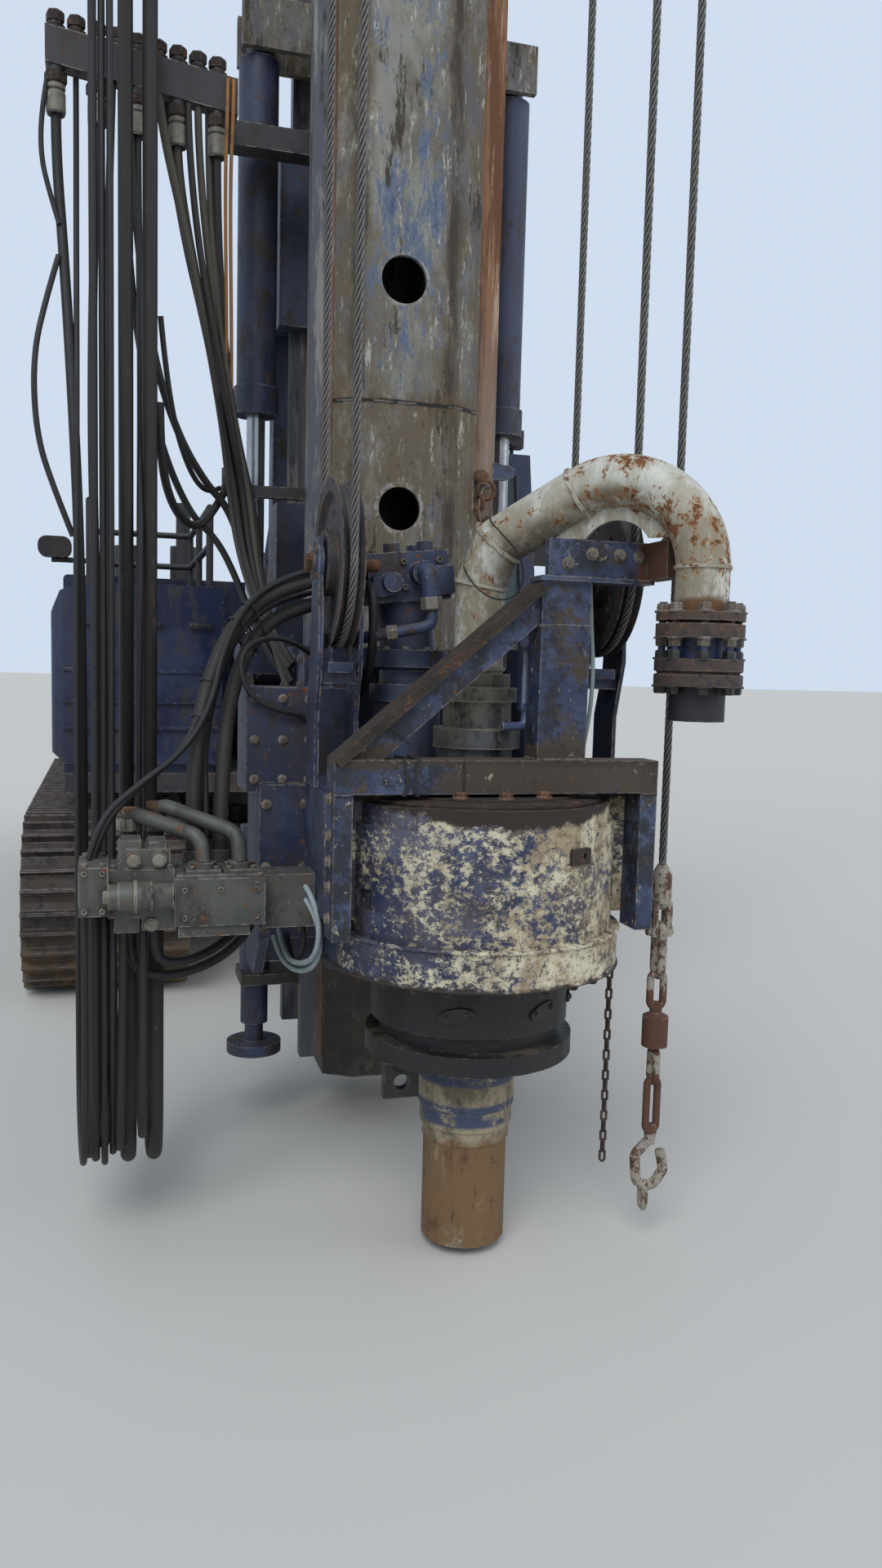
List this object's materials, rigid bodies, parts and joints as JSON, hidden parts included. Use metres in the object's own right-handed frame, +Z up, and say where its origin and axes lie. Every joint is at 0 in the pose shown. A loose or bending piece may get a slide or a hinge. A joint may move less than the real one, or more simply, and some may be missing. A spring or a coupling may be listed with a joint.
{
  "type": "rotary piling rig",
  "caption": "Crawler-mounted rotary piling rig with a tall mast, a casing drive on a sliding carriage, a concrete gooseneck, hoses and a hollow operator's cab.",
  "frame": {"origin": "on the ground, in the middle of the machine's length and width", "axes": "+Z up along the mast; the mast and drive are towards -Y and the counterweight towards +Y; X runs across the tracks"},
  "size_m": [2.84, 8.488, 15.89],
  "materials": {
    "track_steel": "rusty and muddy",
    "roller_steel": "rusty",
    "frame_paint": "dusty satin",
    "machined_steel": "oiled",
    "navy_paint": "worn satin",
    "engine_iron": "rough",
    "window_glass": "tinted",
    "cab_plastic": "grained",
    "black_paint": "satin",
    "rod_chrome": "polished",
    "mast_paint": "grimy, streaked with worn paint",
    "worn_rail": "rusty and worn",
    "grey_steel": "greasy",
    "wire_rope": "greasy strands",
    "sheave_steel": "worn, bright groove",
    "rusty_steel": "rusty",
    "cover_paint": "flaking in large patches",
    "beam_paint": "grimy and worn",
    "pipe_paint": "off-white with rust patches",
    "blue_flange": "worn satin",
    "valve_paint": "grey-green with rust",
    "casing_steel": "rusty",
    "hose_rubber": "dusty, weathered"
  },
  "bodies": {
    "undercarriage": {"track_left": "track_steel", "track_right": "track_steel", "track_wheels": "roller_steel", "track_frames": "frame_paint", "car_body": "frame_paint", "slew_ring": "machined_steel"},
    "upperstructure": {"upper_frame": "frame_paint", "tank_house": "navy_paint", "engine_house": "navy_paint", "engine_block": "engine_iron", "counterweight": "navy_paint", "cab_shell": "navy_paint", "cab_glass": "window_glass", "cab_fittings": "cab_plastic", "rails_and_mirrors": "black_paint", "roof_fittings": "black_paint"},
    "cab_door": {"cab_door": "navy_paint", "cab_door_glass": "window_glass"},
    "service_door_left": {"service_door_left": "navy_paint"},
    "service_door_right": {"service_door_right": "navy_paint"},
    "boom": {"boom": "navy_paint"},
    "boom_barrels": {"boom_cylinder_barrels": "navy_paint"},
    "boom_rods": {"boom_cylinder_rods": "rod_chrome"},
    "mast_bracket": {"mast_bracket": "navy_paint", "mast_lift_rods": "rod_chrome"},
    "tilt_barrels": {"tilt_cylinder_barrels": "navy_paint"},
    "tilt_rods": {"tilt_cylinder_rods": "rod_chrome"},
    "mast": {"mast_lower": "mast_paint", "mast_upper": "mast_paint", "mast_rails": "worn_rail", "mast_head": "navy_paint", "mast_lift_barrels": "navy_paint", "mast_jacks": "navy_paint", "hose_manifold": "grey_steel", "winch_frames": "navy_paint", "ropes": "wire_rope", "thick_hose_outer": "hose_rubber", "thick_hose_inner": "hose_rubber", "thin_hose": "hose_rubber"},
    "winch_lower": {"winch_drum_lower": "grey_steel"},
    "winch_upper": {"winch_drum_upper": "grey_steel"},
    "head_sheaves": {"head_sheaves": "sheave_steel"},
    "rear_sheaves": {"rear_sheaves": "sheave_steel"},
    "hook": {"hook": "rusty_steel"},
    "carriage": {"carriage_frame": "navy_paint", "drive_housing": "navy_paint", "drive_cover": "cover_paint", "support_frame": "beam_paint", "drive_motors": "navy_paint", "swivel": "grey_steel", "gooseneck": "pipe_paint", "flange_stack": "blue_flange", "valve_block": "valve_paint", "sheave_brackets": "navy_paint", "arc_hose_outer": "hose_rubber", "arc_hose_inner": "hose_rubber"},
    "sheave_left": {"sheave_left": "sheave_steel"},
    "sheave_right": {"sheave_right": "sheave_steel"},
    "spindle": {"chuck": "grey_steel", "casing": "casing_steel"}
  },
  "joints": [
    {"name": "slew", "type": "hinge", "parent": "undercarriage", "child": "upperstructure", "pos_m": [0, 0.99, 0.94], "axis": [0, 0, 1], "continuous": true},
    {"name": "cab_door_swing", "type": "hinge", "parent": "upperstructure", "child": "cab_door", "pos_m": [1.304, 0.24, 2], "axis": [0, 0, 1], "range_deg": [0, 95]},
    {"name": "service_door_left_swing", "type": "hinge", "parent": "upperstructure", "child": "service_door_left", "pos_m": [1.304, 1.29, 1.67], "axis": [0, 0, -1], "range_deg": [0, 100]},
    {"name": "service_door_right_swing", "type": "hinge", "parent": "upperstructure", "child": "service_door_right", "pos_m": [-1.304, 1.29, 1.67], "axis": [0, 0, 1], "range_deg": [0, 100]},
    {"name": "boom_lift", "type": "hinge", "parent": "upperstructure", "child": "boom", "pos_m": [0, 0.19, 1.7], "axis": [-1, 0, 0], "range_deg": [0, 30]},
    {"name": "boom_barrel_swing", "type": "hinge", "parent": "upperstructure", "child": "boom_barrels", "pos_m": [0, -0.41, 1.25], "axis": [-1, 0, 0], "range_deg": [0, 35.5]},
    {"name": "boom_rod_slide", "type": "slide", "parent": "boom_barrels", "child": "boom_rods", "axis": [0, -0.9169, 0.3991], "range_m": [0, 0.376]},
    {"name": "mast_tilt", "type": "hinge", "parent": "boom", "child": "mast_bracket", "pos_m": [0, -1.81, 2], "axis": [-1, 0, 0], "range_deg": [-5, 15]},
    {"name": "tilt_barrel_swing", "type": "hinge", "parent": "boom", "child": "tilt_barrels", "pos_m": [0, -0.56, 2.2], "axis": [-1, 0, 0], "range_deg": [-2.9, 8.31]},
    {"name": "tilt_rod_slide", "type": "slide", "parent": "tilt_barrels", "child": "tilt_rods", "axis": [0, -0.7749, 0.632], "range_m": [-0.2592, 0.0877]},
    {"name": "mast_slide", "type": "slide", "parent": "mast_bracket", "child": "mast", "axis": [0, 0, 1], "range_m": [0, 0.8]},
    {"name": "winch_lower_turn", "type": "hinge", "parent": "mast", "child": "winch_lower", "pos_m": [0, -1.93, 4.6], "axis": [1, 0, 0], "continuous": true},
    {"name": "winch_upper_turn", "type": "hinge", "parent": "mast", "child": "winch_upper", "pos_m": [0, -1.93, 5.5], "axis": [1, 0, 0], "continuous": true},
    {"name": "head_sheave_turn", "type": "hinge", "parent": "mast", "child": "head_sheaves", "pos_m": [0, -3.64, 15.56], "axis": [1, 0, 0], "continuous": true},
    {"name": "rear_sheave_turn", "type": "hinge", "parent": "mast", "child": "rear_sheaves", "pos_m": [0, -2.2766, 15.56], "axis": [1, 0, 0], "continuous": true},
    {"name": "hook_turn", "type": "hinge", "parent": "mast", "child": "hook", "pos_m": [0.535, -3.8473, 0.8], "axis": [0, 0, 1], "continuous": true},
    {"name": "carriage_slide", "type": "slide", "parent": "mast", "child": "carriage", "axis": [0, 0, 1], "range_m": [0, 10.5]},
    {"name": "sheave_left_turn", "type": "hinge", "parent": "carriage", "child": "sheave_left", "pos_m": [0.395, -3.64, 1.97], "axis": [1, 0, 0], "continuous": true},
    {"name": "sheave_right_turn", "type": "hinge", "parent": "carriage", "child": "sheave_right", "pos_m": [-0.395, -3.64, 1.97], "axis": [1, 0, 0], "continuous": true},
    {"name": "spindle_turn", "type": "hinge", "parent": "carriage", "child": "spindle", "pos_m": [0, -3.71, 0.9], "axis": [0, 0, 1], "continuous": true}
  ],
  "couplings": [
    {"joint": "boom_barrel_swing", "follows": "boom_lift", "ratio": 1.1768},
    {"joint": "boom_rod_slide", "follows": "boom_lift", "m_per_rad": 0.7142},
    {"joint": "tilt_barrel_swing", "follows": "mast_tilt", "ratio": 0.5407},
    {"joint": "tilt_rod_slide", "follows": "mast_tilt", "m_per_rad": -0.9824}
  ]
}
